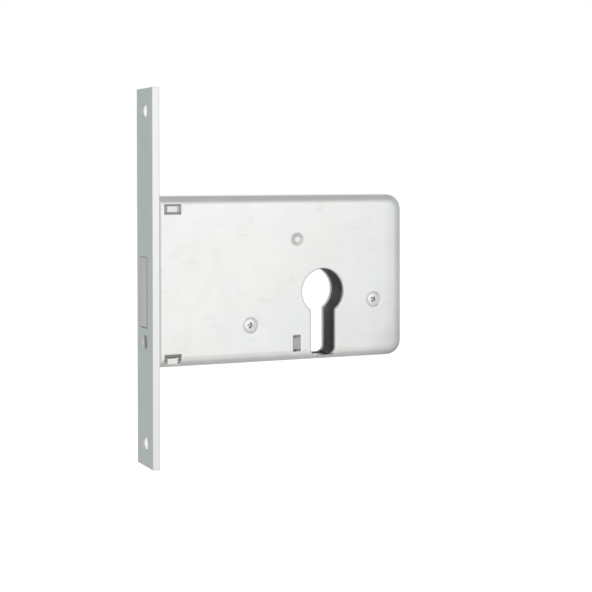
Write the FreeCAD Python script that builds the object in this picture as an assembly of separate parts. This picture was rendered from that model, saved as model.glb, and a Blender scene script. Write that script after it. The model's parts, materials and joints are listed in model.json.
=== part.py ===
"""Narrow mortice deadlock for a euro-profile cylinder, as separate pieces.

All sizes are millimetres. The origin is on the cylinder's axis, half way through the case.
+X points into the door, +Y from the screwed cover towards the riveted back plate, +Z up.
The deadbolt is drawn in its retracted place, and the detainer lever is drawn lifted,
as the cylinder's cam holds it while the bolt moves.
"""
import FreeCAD
import Part
import math
import os

from FreeCAD import Vector

# Cutters run this far past what they cut, and edges are told apart at this distance
past = 1.0
same = 1e-6

# Euro-profile cylinder cut-out
cylinder_hole_diameter = 17.5
cylinder_slot_width = 10.2
cylinder_hole_height = 33.4
cylinder_slot_corner = 2.8

# Cam of the cylinder that the lock is made for
cam_radius = 15.25
cam_width = 7.0
cam_play = 0.4
cam_notch_play = 0.76

# Case of drawn sheet, with a flat back plate
sheet = 1.2
inner_width = 10.1
web_below_cylinder = 1.65
case_corner_radius = 6.0
case_edge_radius = 4.2
cover_front_round = 2.5
cutout_edge_chamfer = 0.3

# Faceplate
backset = 70.0
face_height = 140.0
face_width = 18.0
face_thickness = 2.8
face_centre_z = 7.0
face_edge_chamfer = 0.25
face_screw_from_end = 8.45
face_screw_diameter = 4.8
face_screw_sink = 6.2
cylinder_screw_z = -16.9
cylinder_screw_diameter = 5.2
cylinder_screw_sink = 6.2
cylinder_screw_way = 5.6

# Deadbolt
turns = 2
bolt_step = 10.0
bolt_height = 26.0
bolt_thickness = 7.5
bolt_head_length = 35.5
bolt_centre_z = 1.5
bolt_side_play = 0.25
bolt_edge_chamfer = 0.2
aperture_play = 0.15
aperture_near_play = 0.35
tail_thickness = 3.5
tail_tongue = 8.0
tail_tongue_bottom_z = -6.0
tail_tongue_height = 18.0
tail_throat_gap = 4.25
tail_end_land = 3.6
tail_corner = 2.0
tail_top_margin = 4.2
tail_rear_margin = 1.7
tongue_play = 0.2
bolt_rivet_diameter = 3.2
bolt_rivet_pitch = 10.0

# Guide stud of the bolt, whose end shows in the cover
stud_x = -10.8
stud_z = 20.25
stud_diameter = 5.0
stud_end_diameter = 4.5
stud_hole_play = 0.2
stud_shoulder_diameter = 8.0
stud_end_flat = 2.1
slot_play = 0.05
spacer_diameter = 7.2
spacer_play = 0.1

# Detainer lever, its pivot and its spring
stump_x = 2.0
stump_diameter = 3.5
stump_above_stud = 5.75
stump_land = 1.8
gate_play = 0.3
lever_thickness = 2.5
lever_gap = 0.3
lever_drop = 5.0
lever_back = 2.07
lever_eye_radius = 5.3
lever_nose = 2.6
lever_corner = 1.0
gate_corner = 0.3
belly_to_spacer = 0.5
belly_past_cam = 2.0
belly_slope = 4.0
lever_rear_space = 1.72
pivot_z = 24.0
pivot_diameter = 5.0
pivot_play = 0.05
pivot_shoulder_diameter = 7.0
pivot_to_tail = 1.0
washer_diameter = 9.0
spring_space = 1.8
spring_strip = 0.35
spring_width = 1.9
spring_reach = 21.0
spring_foot = 3.0
spring_inset = 13.0
spring_bow = 0.75
spring_wall_gap = 0.3

# Posts, cover screws and rivets
post_behind_bolt = 2.15
front_post_z = -11.9
rear_post_x = 21.9
rear_post_z = -3.9
post_diameter = 4.5
shank_diameter = 3.6
screw_diameter = 3.0
screw_length = 8.0
screw_head_diameter = 4.8
screw_sink_diameter = 6.2
recess_span = 2.8
recess_width = 0.8
recess_depth = 0.8
recess_bottom_span = 1.2
front_screw_turn = 12.0
rear_screw_turn = 38.0

# Front blocks, which join the faceplate to the case
block_length = 10.0
block_gap = 0.4
curl_rebate = 1.8
curl_play = 0.1
block_wall_gap = 0.3
upper_block_height = 8.2
lower_block_to_bolt = 0.5
window_width = 6.5
window_height = 3.8
window_setback = 6.1
upper_window_drop = 4.9
tenon_width = 3.9
tenon_height = 2.1
tenon_setback = 0.25
upper_tenon_rise = 0.05
lower_tenon_drop = 0.5
face_rivet_diameter = 2.5
upper_face_rivet_drop = 5.6
lower_face_rivet_rise = 4.0

# Guide plate for the cylinder's fixing screw
guide_x = -11.1
guide_thickness = 2.8
guide_slot_play = 0.1
guide_slot_height = 6.3
guide_tenon_height = 4.3
guide_tenon_z = -19.55
guide_top_z = -12.9
guide_foot_gap = 0.4
guide_gap = 1.4

# Places worked out from the sizes above
throw = turns * bolt_step
half_inner = inner_width / 2
half_case = half_inner + sheet
cylinder_radius = cylinder_hole_diameter / 2
cylinder_bottom_z = cylinder_radius - cylinder_hole_height
face_front_x = -backset
face_back_x = face_front_x + face_thickness
case_bottom_z = cylinder_bottom_z - web_below_cylinder

bolt_far_y = half_inner - bolt_side_play
bolt_near_y = bolt_far_y - bolt_thickness
bolt_bottom_z = bolt_centre_z - bolt_height / 2
bolt_top_z = bolt_centre_z + bolt_height / 2
bolt_rear_x = face_front_x + bolt_head_length
front_post_x = bolt_rear_x + post_behind_bolt + post_diameter / 2
tail_far_y = (bolt_near_y + bolt_far_y + tail_thickness) / 2
tail_near_y = tail_far_y - tail_thickness

cam_notch = cam_width + cam_notch_play
cam_reach = (bolt_step + cam_notch) / 2
tail_bottom_z = math.sqrt(cam_radius ** 2 - cam_reach ** 2)
notch_top_z = cam_radius + cam_play
tail_throat_x = -(cam_radius + tail_throat_gap)
tail_end_x = cam_reach + (turns - 1) * bolt_step + tail_end_land

slot_radius = stud_diameter / 2 + slot_play
tail_top_z = stud_z + slot_radius + tail_top_margin
tail_rear_top_z = stud_z + slot_radius + tail_rear_margin
stump_z = stud_z + stump_above_stud
stump_radius = stump_diameter / 2
gate_radius = stump_radius + gate_play

lever_far_y = tail_near_y - lever_gap
lever_near_y = lever_far_y - lever_thickness
stump_near_y = lever_near_y - lever_gap
pivot_x = tail_end_x + pivot_to_tail + pivot_shoulder_diameter / 2
case_rear_x = pivot_x + lever_eye_radius + lever_rear_space + sheet


def lifted_place(x, z):
    """Where a point of the dropped lever lies once the lever is lifted about its pivot."""
    turn = math.radians(lever_drop)
    dx = x - pivot_x
    dz = z - pivot_z
    lifted_x = pivot_x + dx * math.cos(turn) + dz * math.sin(turn)
    lifted_z = pivot_z - dx * math.sin(turn) + dz * math.cos(turn)
    return lifted_x, lifted_z


last_gate_x, last_gate_z = lifted_place(stump_x - throw - gate_radius, stump_z + gate_radius)
lever_top_z = last_gate_z + lever_back
case_top_z = lever_top_z + spring_space + sheet
upper_window_z = case_top_z - upper_window_drop
upper_tenon_z = upper_window_z + upper_tenon_rise
lower_block_bottom_z = case_bottom_z + sheet + block_wall_gap
lower_tenon_z = lower_block_bottom_z + tenon_height / 2
lower_window_z = lower_tenon_z + lower_tenon_drop
window_x = face_back_x + window_setback
tenon_x = window_x - tenon_setback
post_places = ((front_post_x, front_post_z), (rear_post_x, rear_post_z))


def box(x0, x1, y0, y1, z0, z1):
    """A block between two corners."""
    return Part.makeBox(x1 - x0, y1 - y0, z1 - z0, Vector(x0, y0, z0))


def rod(x, z, radius, y0, y1):
    """A round bar along Y."""
    return Part.makeCylinder(radius, y1 - y0, Vector(x, y0, z), Vector(0, 1, 0))


def cone(x, z, radius0, radius1, y0, y1):
    """A cone along Y whose radius goes from radius0 at y0 to radius1 at y1."""
    return Part.makeCone(radius0, radius1, y1 - y0, Vector(x, y0, z), Vector(0, 1, 0))


def rod_x(y, z, radius, x0, x1):
    """A round bar along X."""
    return Part.makeCylinder(radius, x1 - x0, Vector(x0, y, z), Vector(1, 0, 0))


def cone_x(y, z, radius0, radius1, x0, x1):
    """A cone along X whose radius goes from radius0 at x0 to radius1 at x1."""
    return Part.makeCone(radius0, radius1, x1 - x0, Vector(x0, y, z), Vector(1, 0, 0))


def rounded_outline(corners):
    """A closed wire in the XZ plane through (x, z, radius) corners, each rounded by its radius."""
    arcs = []
    count = len(corners)
    for i in range(count):
        x, z, radius = corners[i]
        here = Vector(x, 0, z)
        before = Vector(corners[i - 1][0], 0, corners[i - 1][1])
        after = Vector(corners[(i + 1) % count][0], 0, corners[(i + 1) % count][1])
        back = (before - here).normalize()
        ahead = (after - here).normalize()
        if radius == 0:
            arcs.append((here, None, here))
            continue
        half_angle = back.getAngle(ahead) / 2
        reach = radius / math.tan(half_angle)
        bisector = (back + ahead).normalize()
        centre = here + bisector * (radius / math.sin(half_angle))
        arcs.append((here + back * reach, centre - bisector * radius, here + ahead * reach))
    edges = []
    for i in range(count):
        start, middle, end = arcs[i]
        if middle is not None:
            edges.append(Part.Arc(start, middle, end).toShape())
        next_start = arcs[(i + 1) % count][0]
        if end.distanceToPoint(next_start) > same:
            edges.append(Part.LineSegment(end, next_start).toShape())
    return Part.Wire(edges)


def plate(corners, y0, y1):
    """A flat plate between y0 and y1 with a rounded outline."""
    face = Part.Face(rounded_outline(corners))
    face.translate(Vector(0, y0, 0))
    return face.extrude(Vector(0, y1 - y0, 0))


def case_corners(inset):
    """Corners of the case's outline, drawn in by inset except at its open front."""
    radius = case_corner_radius - inset
    return [
        (face_back_x, case_bottom_z + inset, 0),
        (case_rear_x - inset, case_bottom_z + inset, radius),
        (case_rear_x - inset, case_top_z - inset, radius),
        (face_back_x, case_top_z - inset, 0),
    ]


def cylinder_cutout(y0, y1):
    """The keyhole-like hole that a euro-profile cylinder slides through."""
    half_slot = cylinder_slot_width / 2
    slot = plate([
        (-half_slot, cylinder_bottom_z, cylinder_slot_corner),
        (half_slot, cylinder_bottom_z, cylinder_slot_corner),
        (half_slot, 0, 0),
        (-half_slot, 0, 0),
    ], y0, y1)
    return rod(0, 0, cylinder_radius, y0, y1).fuse(slot).removeSplitter()


def rounded_near_edges(solid, near_y, radius):
    """Round the near face's edges all along, apart from the one at the open front."""
    edges = []
    for edge in solid.Edges:
        bounds = edge.BoundBox
        on_near_face = abs(bounds.YMin - near_y) < same and abs(bounds.YMax - near_y) < same
        at_front = abs(bounds.XMax - face_back_x) < same
        if on_near_face and not at_front:
            edges.append(edge)
    return solid.makeFillet(radius, edges)


def with_curled_front(cover, outer):
    """Turn the cover's front edge in towards the inside, where it meets the faceplate."""
    round_x = face_back_x + cover_front_round
    round_y = -half_case + cover_front_round
    bottom_z = case_bottom_z - past
    height = case_top_z + past - bottom_z

    def bend(radius):
        return Part.makeCylinder(radius, height, Vector(round_x, round_y, bottom_z))

    corner = box(face_back_x - past, round_x, -half_case - past, round_y, bottom_z,
                 bottom_z + height)
    curl = corner.common(bend(cover_front_round)).cut(bend(cover_front_round - sheet))
    return cover.cut(corner.cut(bend(cover_front_round))).fuse(curl.common(outer))


def eased_cutout(cover):
    """Ease the cylinder hole's edge on the near face."""
    edges = []
    for edge in cover.Edges:
        bounds = edge.BoundBox
        on_near_face = abs(bounds.YMin + half_case) < same and abs(bounds.YMax + half_case) < same
        at_cutout = max(abs(bounds.XMin), abs(bounds.XMax)) < cylinder_radius + same
        if on_near_face and at_cutout and bounds.ZMax < cylinder_radius + same:
            edges.append(edge)
    return cover.makeChamfer(cutout_edge_chamfer, edges)


def make_case_cover():
    """Drawn cover: face, rounded edges and the three side walls that stand on the back plate."""
    outer = rounded_near_edges(plate(case_corners(0), -half_case, half_inner), -half_case,
                               case_edge_radius)
    inner_radius = case_edge_radius - sheet
    cavity = rounded_near_edges(plate(case_corners(sheet), -half_inner, half_case), -half_inner,
                                inner_radius)
    cover = with_curled_front(outer.cut(cavity), outer).removeSplitter()
    cover = eased_cutout(cover.cut(cylinder_cutout(-half_case - past, half_case)))
    through = -half_inner + inner_radius
    half_window = window_width / 2
    for centre_z in (upper_window_z, lower_window_z):
        cover = cover.cut(box(window_x - half_window, window_x + half_window, -half_case - past,
                              through, centre_z - window_height / 2, centre_z + window_height / 2))
    half_slot = guide_thickness / 2 + guide_slot_play
    cover = cover.cut(box(guide_x - half_slot, guide_x + half_slot, -half_case - past, through,
                          guide_tenon_z - guide_slot_height / 2,
                          guide_tenon_z + guide_slot_height / 2))
    stud_hole = stud_end_diameter / 2 + stud_hole_play
    cover = cover.cut(rod(stud_x, stud_z, stud_hole, -half_case - past, through))
    sink = screw_sink_diameter / 2
    for x, z in post_places:
        cover = cover.cut(cone(x, z, sink, sink - sheet, -half_case, -half_inner))
    return cover


def rivet_shank(x, z):
    """End riveted into the back plate, flush outside."""
    return rod(x, z, shank_diameter / 2, half_inner, half_case)


def tenon(x, z, width, height, y0, y1):
    """A rectangular tenon along Y, centred on x and z."""
    return box(x - width / 2, x + width / 2, y0, y1, z - height / 2, z + height / 2)


def make_back_plate():
    """Flat plate that carries the posts, the stud, the pivot and the blocks."""
    back = plate(case_corners(0), half_inner, half_case)
    back = back.cut(cylinder_cutout(half_inner - past, half_case + past))
    for x, z in post_places + ((stud_x, stud_z), (pivot_x, pivot_z)):
        back = back.cut(rivet_shank(x, z))
    for z in (upper_tenon_z, lower_tenon_z):
        back = back.cut(tenon(tenon_x, z, tenon_width, tenon_height, half_inner - past,
                              half_case + past))
    back = back.cut(tenon(guide_x, guide_tenon_z, guide_thickness, guide_tenon_height,
                          half_inner - past, half_case + past))
    return back


def screw_hole_x(y, z, diameter, sink_diameter):
    """A hole through the faceplate with a 90 degree countersink at its front."""
    radius = diameter / 2
    sink = sink_diameter / 2
    hole = rod_x(y, z, radius, face_front_x - past, face_back_x + past)
    return hole.fuse(cone_x(y, z, sink, radius, face_front_x, face_front_x + sink - radius))


def make_face_rivet(z):
    """Rivet through the faceplate and its block, staked flush at both ends."""
    return rod_x(0, z, face_rivet_diameter / 2, face_front_x, face_back_x + block_length)


upper_rivet_z = case_top_z - upper_face_rivet_drop
lower_rivet_z = case_bottom_z + lower_face_rivet_rise


def make_faceplate():
    """Long plate on the door's edge with the bolt's aperture and its screw holes."""
    face = box(face_front_x, face_back_x, -face_width / 2, face_width / 2,
               face_centre_z - face_height / 2, face_centre_z + face_height / 2)
    front = [e for e in face.Edges if e.BoundBox.XMax < face_front_x + same]
    face = face.makeChamfer(face_edge_chamfer, front)
    face = face.cut(box(face_front_x - past, face_back_x + past,
                        bolt_near_y - aperture_near_play, bolt_far_y + aperture_play,
                        bolt_bottom_z - aperture_play, bolt_top_z + aperture_play))
    for side in (-1, 1):
        z = face_centre_z + side * (face_height / 2 - face_screw_from_end)
        face = face.cut(screw_hole_x(0, z, face_screw_diameter, face_screw_sink))
    face = face.cut(screw_hole_x(0, cylinder_screw_z, cylinder_screw_diameter,
                                 cylinder_screw_sink))
    for z in (upper_rivet_z, lower_rivet_z):
        face = face.cut(make_face_rivet(z))
    return face


def ease_wall_edge(solid, y, z):
    """Round the edge at y and z, so that it clears the cover's rounded inside."""
    edges = []
    for edge in solid.Edges:
        bounds = edge.BoundBox
        along_x = bounds.YLength + bounds.ZLength < same
        if along_x and abs(bounds.YMin - y) + abs(bounds.ZMin - z) < same:
            edges.append(edge)
    return solid.makeFillet(case_edge_radius - sheet, edges)


def make_block(bottom_z, top_z, wall_z, tenon_z, rivet_z):
    """Block behind the faceplate, rebated for the curl, with a tenon into each side."""
    near_y = -half_inner + block_gap
    block = box(face_back_x, face_back_x + block_length, near_y, half_inner, bottom_z, top_z)
    block = ease_wall_edge(block, near_y, wall_z)
    block = block.cut(box(face_back_x - past, face_back_x + curl_rebate, near_y - past,
                          -half_case + cover_front_round + curl_play, bottom_z - past,
                          top_z + past))
    block = block.fuse(tenon(tenon_x, tenon_z, tenon_width, tenon_height, -half_case, half_case))
    return block.cut(make_face_rivet(rivet_z)).removeSplitter()


def make_upper_front_block():
    """Upper block, between the faceplate and the top wall."""
    top_z = case_top_z - sheet - block_wall_gap
    return make_block(top_z - upper_block_height, top_z, top_z, upper_tenon_z, upper_rivet_z)


def make_lower_front_block():
    """Lower block, which the cylinder's fixing screw passes through."""
    block = make_block(lower_block_bottom_z, bolt_bottom_z - lower_block_to_bolt,
                       lower_block_bottom_z, lower_tenon_z, lower_rivet_z)
    return block.cut(rod_x(0, cylinder_screw_z, cylinder_screw_way / 2, face_back_x - past,
                           face_back_x + block_length + past))


def make_screw_post(x, z):
    """Tapped post riveted into the back plate, with a seat for the countersunk screw."""
    post = rod(x, z, post_diameter / 2, -half_inner, half_inner)
    post = post.fuse(rivet_shank(x, z)).removeSplitter()
    seat = screw_sink_diameter / 2 - sheet
    thread = screw_diameter / 2
    post = post.cut(cone(x, z, seat, thread, -half_inner, -half_inner + seat - thread))
    return post.cut(rod(x, z, thread, -half_inner - past, screw_point_y + past))


screw_head_y = -half_case + (screw_sink_diameter - screw_head_diameter) / 2
screw_point_y = screw_head_y + screw_length


def cross_recess(x, z, turn):
    """Cross recess with two wings that narrow towards the bottom."""
    half_span = recess_span / 2
    top_y = screw_head_y
    bottom_y = top_y + recess_depth
    half_bottom = recess_bottom_span / 2
    wing = Part.Face(Part.makePolygon([
        Vector(-half_span, top_y - past, 0),
        Vector(half_span, top_y - past, 0),
        Vector(half_span, top_y, 0),
        Vector(half_bottom, bottom_y, 0),
        Vector(-half_bottom, bottom_y, 0),
        Vector(-half_span, top_y, 0),
        Vector(-half_span, top_y - past, 0),
    ])).extrude(Vector(0, 0, recess_width))
    wing.translate(Vector(0, 0, -recess_width / 2))
    other = wing.copy()
    other.rotate(Vector(0, 0, 0), Vector(0, 1, 0), 90)
    cross = wing.fuse(other)
    cross.rotate(Vector(0, 0, 0), Vector(0, 1, 0), turn)
    cross.translate(Vector(x, 0, z))
    return cross


def make_cover_screw(x, z, turn):
    """Countersunk cover screw with a cross recess."""
    head = screw_head_diameter / 2
    thread = screw_diameter / 2
    screw = rod(x, z, thread, screw_head_y, screw_point_y)
    screw = screw.fuse(cone(x, z, head, thread, screw_head_y, screw_head_y + head - thread))
    return screw.cut(cross_recess(x, z, turn)).removeSplitter()


def make_guide_stud():
    """Stepped stud that the bolt's slot runs on, whose tapered end stands in the cover's hole."""
    shoulder_y = tail_far_y + spacer_play
    stud = rod(stud_x, stud_z, stud_shoulder_diameter / 2, shoulder_y, half_inner)
    stud = stud.fuse(rod(stud_x, stud_z, stud_diameter / 2, -half_inner, shoulder_y))
    stud = stud.fuse(cone(stud_x, stud_z, stud_end_flat / 2, stud_end_diameter / 2, -half_case,
                          -half_inner))
    return stud.fuse(rivet_shank(stud_x, stud_z)).removeSplitter()


def make_guide_spacer():
    """Tube on the stud that keeps the bolt's tail off the cover."""
    outer = rod(stud_x, stud_z, spacer_diameter / 2, -half_inner + spacer_play,
                tail_near_y - spacer_play)
    return outer.cut(rod(stud_x, stud_z, stud_diameter / 2 + slot_play, -half_inner, tail_near_y))


def make_cylinder_screw_guide():
    """Upright plate beside the cylinder that the fixing screw passes through."""
    x0 = guide_x - guide_thickness / 2
    x1 = guide_x + guide_thickness / 2
    foot_z = case_bottom_z + sheet + guide_foot_gap
    near_y = -half_inner + guide_gap
    guide = box(x0, x1, near_y, half_inner, foot_z, guide_top_z)
    guide = ease_wall_edge(guide, near_y, foot_z)
    guide = guide.fuse(tenon(guide_x, guide_tenon_z, guide_thickness, guide_tenon_height,
                             -half_case, half_case)).removeSplitter()
    return guide.cut(rod_x(0, cylinder_screw_z, cylinder_screw_way / 2, x0 - past, x1 + past))


tongue_front_x = bolt_rear_x - tail_tongue
tongue_top_z = tail_tongue_bottom_z + tail_tongue_height


def bolt_rivet_places():
    """Centres of the two rivets through the head and the tail's tongue."""
    x = bolt_rear_x - tail_tongue / 2
    middle_z = tail_tongue_bottom_z + tail_tongue_height / 2
    return [(x, middle_z + side * bolt_rivet_pitch / 2) for side in (-1, 1)]


def make_bolt_rivets():
    """Two flush rivets across the bolt's head."""
    rivets = [rod(x, z, bolt_rivet_diameter / 2, bolt_near_y, bolt_far_y)
              for x, z in bolt_rivet_places()]
    return Part.makeCompound(rivets)


def make_bolt_head():
    """Solid head of the bolt, slotted at the rear for the tail."""
    head = box(face_front_x, bolt_rear_x, bolt_near_y, bolt_far_y, bolt_bottom_z, bolt_top_z)
    rear = [e for e in head.Edges if e.BoundBox.XMin > bolt_rear_x - same]
    others = [e for e in head.Edges if not any(e.isSame(r) for r in rear)]
    head = head.makeChamfer(bolt_edge_chamfer, others)
    head = head.cut(box(tongue_front_x - tongue_play, bolt_rear_x + past, tail_near_y, tail_far_y,
                        bolt_bottom_z - past, bolt_top_z + past))
    for x, z in bolt_rivet_places():
        head = head.cut(rod(x, z, bolt_rivet_diameter / 2, bolt_near_y - past, bolt_far_y + past))
    return head


def tail_corners():
    """Outline of the tail, from its tongue round by the cam's notches to the stump's land."""
    corners = [
        (tongue_front_x, tail_tongue_bottom_z, tail_corner / 2),
        (tail_throat_x, tail_tongue_bottom_z, tail_corner),
        (tail_throat_x, tail_bottom_z, tail_corner),
    ]
    for turn in range(turns):
        left = bolt_step - cam_reach + turn * bolt_step
        right = cam_reach + turn * bolt_step
        corners += [
            (left, tail_bottom_z, 0),
            (left, notch_top_z, 0),
            (right, notch_top_z, 0),
            (right, tail_bottom_z, 0),
        ]
    land = stump_radius + stump_land
    stump_top_z = stump_z + land
    rise = stump_top_z - tail_rear_top_z
    corners += [
        (tail_end_x, tail_bottom_z, tail_corner / 2),
        (tail_end_x, tail_rear_top_z, tail_corner / 2),
        (stump_x + land + rise, tail_rear_top_z, tail_corner / 2),
        (stump_x + land, stump_top_z, tail_corner / 2),
        (stump_x - land, stump_top_z, tail_corner / 2),
        (stump_x - land - (stump_top_z - tail_top_z), tail_top_z, tail_corner / 2),
        (bolt_rear_x + tongue_play, tail_top_z, tail_corner / 2),
        (bolt_rear_x + tongue_play, tongue_top_z, 0),
        (tongue_front_x, tongue_top_z, tail_corner / 2),
    ]
    return corners


def make_bolt_tail():
    """Steel tail with the cam's notches, the long guide slot and the stump's hole."""
    tail = plate(tail_corners(), tail_near_y, tail_far_y)
    slot_end = stud_x + throw
    slot = box(stud_x, slot_end, tail_near_y - past, tail_far_y + past, stud_z - slot_radius,
               stud_z + slot_radius)
    for x in (stud_x, slot_end):
        slot = slot.fuse(rod(x, stud_z, slot_radius, tail_near_y - past, tail_far_y + past))
    tail = tail.cut(slot)
    tail = tail.cut(rod(stump_x, stump_z, stump_radius, tail_near_y - past, tail_far_y + past))
    for x, z in bolt_rivet_places():
        tail = tail.cut(rod(x, z, bolt_rivet_diameter / 2, tail_near_y - past, tail_far_y + past))
    return tail


def make_bolt_stump():
    """Round stump on the tail that the lever's gates drop over."""
    return rod(stump_x, stump_z, stump_radius, stump_near_y, tail_far_y)


def gate_tool(turn):
    """Cutter for one gate, made where the stump stands and turned to the lifted lever."""
    x = stump_x - turn * bolt_step
    tool = box(x - gate_radius, x + gate_radius, lever_near_y - past, lever_far_y + past,
               stump_z - stump_radius, stump_z + gate_radius)
    tool.rotate(Vector(pivot_x, 0, pivot_z), Vector(0, 1, 0), lever_drop)
    return tool


belly_z = cam_radius + cam_play / 2
jaw_low_z = stump_z - gate_radius
jaw_high_z = stump_z + gate_radius
spring_foot_x = pivot_x - spring_inset


def make_detainer_lever():
    """Lever with three gates above the stump and a belly below it that the cam lifts."""
    belly_left_x = stud_x + spacer_diameter / 2 + belly_to_spacer
    belly_right_x = cam_reach + belly_past_cam
    jaw_left_x = stump_x - throw - gate_radius - lever_nose
    web_x = stump_x + gate_radius + lever_gap
    eye_right_x = pivot_x + lever_eye_radius
    eye_bottom_z = pivot_z - lever_eye_radius
    top_slope = case_corner_radius
    lever = plate([
        (belly_left_x, belly_z, lever_corner),
        (belly_right_x, belly_z, 2 * lever_corner),
        (belly_right_x + belly_slope, eye_bottom_z, 2 * lever_corner),
        (eye_right_x, eye_bottom_z, lever_eye_radius),
        (eye_right_x, pivot_z + lever_eye_radius, lever_corner),
        (eye_right_x - top_slope, lever_top_z, 2 * lever_corner),
        (jaw_left_x, lever_top_z, lever_corner),
        (jaw_left_x, jaw_high_z, lever_corner / 2),
        (web_x, jaw_high_z, gate_corner),
        (web_x, jaw_low_z, lever_corner),
        (belly_left_x, jaw_low_z, lever_corner),
    ], lever_near_y, lever_far_y)
    for turn in range(turns + 1):
        lever = lever.cut(gate_tool(turn))
    bore = pivot_diameter / 2 + pivot_play
    lever = lever.cut(rod(pivot_x, pivot_z, bore, lever_near_y - past, lever_far_y + past))
    return lever.cut(make_lever_spring())


def make_lever_spring():
    """Flat bow spring staked in the lever's back, with its free end on the top wall."""
    middle_y = (lever_near_y + lever_far_y) / 2
    y0 = middle_y - spring_width / 2
    top_z = case_top_z - sheet - spring_wall_gap - spring_strip
    start_z = lever_top_z + 2 * spring_strip
    left_x = spring_foot_x - spring_reach

    def bow(offset):
        return Part.Arc(
            Vector(spring_foot_x + spring_strip, y0, start_z + offset),
            Vector(spring_foot_x - spring_reach / 2, y0,
                   start_z + spring_bow * (top_z - start_z) + offset),
            Vector(left_x, y0, top_z + offset)).toShape()

    lower = bow(-spring_strip / 2)
    upper = bow(spring_strip / 2)
    ends = [(lower.Vertexes[i].Point, upper.Vertexes[i].Point) for i in (0, 1)]
    caps = [Part.LineSegment(a, b).toShape() for a, b in ends]
    strip = Part.Face(Part.Wire(Part.sortEdges([lower, upper] + caps)[0]))
    strip = strip.extrude(Vector(0, spring_width, 0))
    foot = box(spring_foot_x, spring_foot_x + spring_strip, y0, y0 + spring_width,
               lever_top_z - spring_foot, start_z)
    return strip.fuse(foot).removeSplitter()


def make_lever_pivot():
    """Shouldered pin that the lever turns on, riveted into the back plate."""
    pin = rod(pivot_x, pivot_z, pivot_shoulder_diameter / 2, lever_far_y + spacer_play,
              half_inner)
    pin = pin.fuse(rod(pivot_x, pivot_z, pivot_diameter / 2, -half_inner + spacer_play,
                       lever_far_y + spacer_play))
    return pin.fuse(rivet_shank(pivot_x, pivot_z)).removeSplitter()


def make_lever_washer():
    """Washer on the pivot between the lever and the cover."""
    y0 = -half_inner + spacer_play
    y1 = lever_near_y - spacer_play
    bore = pivot_diameter / 2 + pivot_play
    return rod(pivot_x, pivot_z, washer_diameter / 2, y0, y1).cut(
        rod(pivot_x, pivot_z, bore, y0 - past, y1 + past))


pieces = {
    "faceplate": make_faceplate(),
    "case_cover": make_case_cover(),
    "back_plate": make_back_plate(),
    "upper_front_block": make_upper_front_block(),
    "lower_front_block": make_lower_front_block(),
    "upper_face_rivet": make_face_rivet(upper_rivet_z),
    "lower_face_rivet": make_face_rivet(lower_rivet_z),
    "front_screw_post": make_screw_post(front_post_x, front_post_z),
    "rear_screw_post": make_screw_post(rear_post_x, rear_post_z),
    "front_cover_screw": make_cover_screw(front_post_x, front_post_z, front_screw_turn),
    "rear_cover_screw": make_cover_screw(rear_post_x, rear_post_z, rear_screw_turn),
    "guide_stud": make_guide_stud(),
    "guide_spacer": make_guide_spacer(),
    "cylinder_screw_guide": make_cylinder_screw_guide(),
    "bolt_head": make_bolt_head(),
    "bolt_tail": make_bolt_tail(),
    "bolt_rivets": make_bolt_rivets(),
    "bolt_stump": make_bolt_stump(),
    "detainer_lever": make_detainer_lever(),
    "lever_spring": make_lever_spring(),
    "lever_pivot": make_lever_pivot(),
    "lever_washer": make_lever_washer(),
}

os.makedirs("parts", exist_ok=True)
for name, shape in pieces.items():
    shape.exportStep("parts/" + name + ".step")
    print("%-22s solids %d, volume %.1f mm3, valid %s"
          % (name, len(shape.Solids), shape.Volume, shape.isValid()))
print("case top %.2f, bottom %.2f, rear %.2f" % (case_top_z, case_bottom_z, case_rear_x))
print("tail bottom %.2f, pivot x %.2f, lever top %.2f" % (tail_bottom_z, pivot_x, lever_top_z))
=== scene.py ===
# %% [markdown]
# # A narrow mortice deadlock, dressed for its portrait
# The lock arrives as a fixed frame of separate steel pieces at their real size. This lesson gives
# each piece the finish that the factory gives it, adds the few small pieces whose charm is in
# their detail, and lights the whole the way a metalware photographer would: a bright white room
# with a few grey cards, because bare metal only ever shows what stands around it.

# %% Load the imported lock
import json
import math

import bmesh
import bpy
from mathutils import Matrix, Vector


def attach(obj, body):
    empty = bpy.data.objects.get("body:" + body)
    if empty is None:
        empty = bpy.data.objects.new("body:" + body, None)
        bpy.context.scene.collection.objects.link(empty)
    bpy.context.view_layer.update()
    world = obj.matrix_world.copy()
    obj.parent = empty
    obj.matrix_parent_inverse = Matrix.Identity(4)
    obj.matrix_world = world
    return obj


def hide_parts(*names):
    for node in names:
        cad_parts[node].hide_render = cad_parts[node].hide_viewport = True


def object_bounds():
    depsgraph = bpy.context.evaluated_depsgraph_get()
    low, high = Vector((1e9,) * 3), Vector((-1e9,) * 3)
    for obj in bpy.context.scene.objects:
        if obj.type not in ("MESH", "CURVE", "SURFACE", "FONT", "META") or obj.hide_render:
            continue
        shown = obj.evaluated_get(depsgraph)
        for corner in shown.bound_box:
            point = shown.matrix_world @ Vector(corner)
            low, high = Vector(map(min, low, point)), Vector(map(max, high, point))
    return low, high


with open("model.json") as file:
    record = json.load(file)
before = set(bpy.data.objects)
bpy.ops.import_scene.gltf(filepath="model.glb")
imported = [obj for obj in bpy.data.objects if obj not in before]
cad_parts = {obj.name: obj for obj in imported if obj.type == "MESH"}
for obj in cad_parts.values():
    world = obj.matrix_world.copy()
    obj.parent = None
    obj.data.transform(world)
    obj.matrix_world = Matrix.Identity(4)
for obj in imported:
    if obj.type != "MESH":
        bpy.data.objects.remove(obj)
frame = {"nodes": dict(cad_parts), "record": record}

nodes = frame["nodes"]
cad_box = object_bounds()
millimetre = 0.001
print("pieces in the frame:", len(nodes))
print("size in mm:", [round((b - a) / millimetre, 1) for a, b in zip(*cad_box)])

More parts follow.
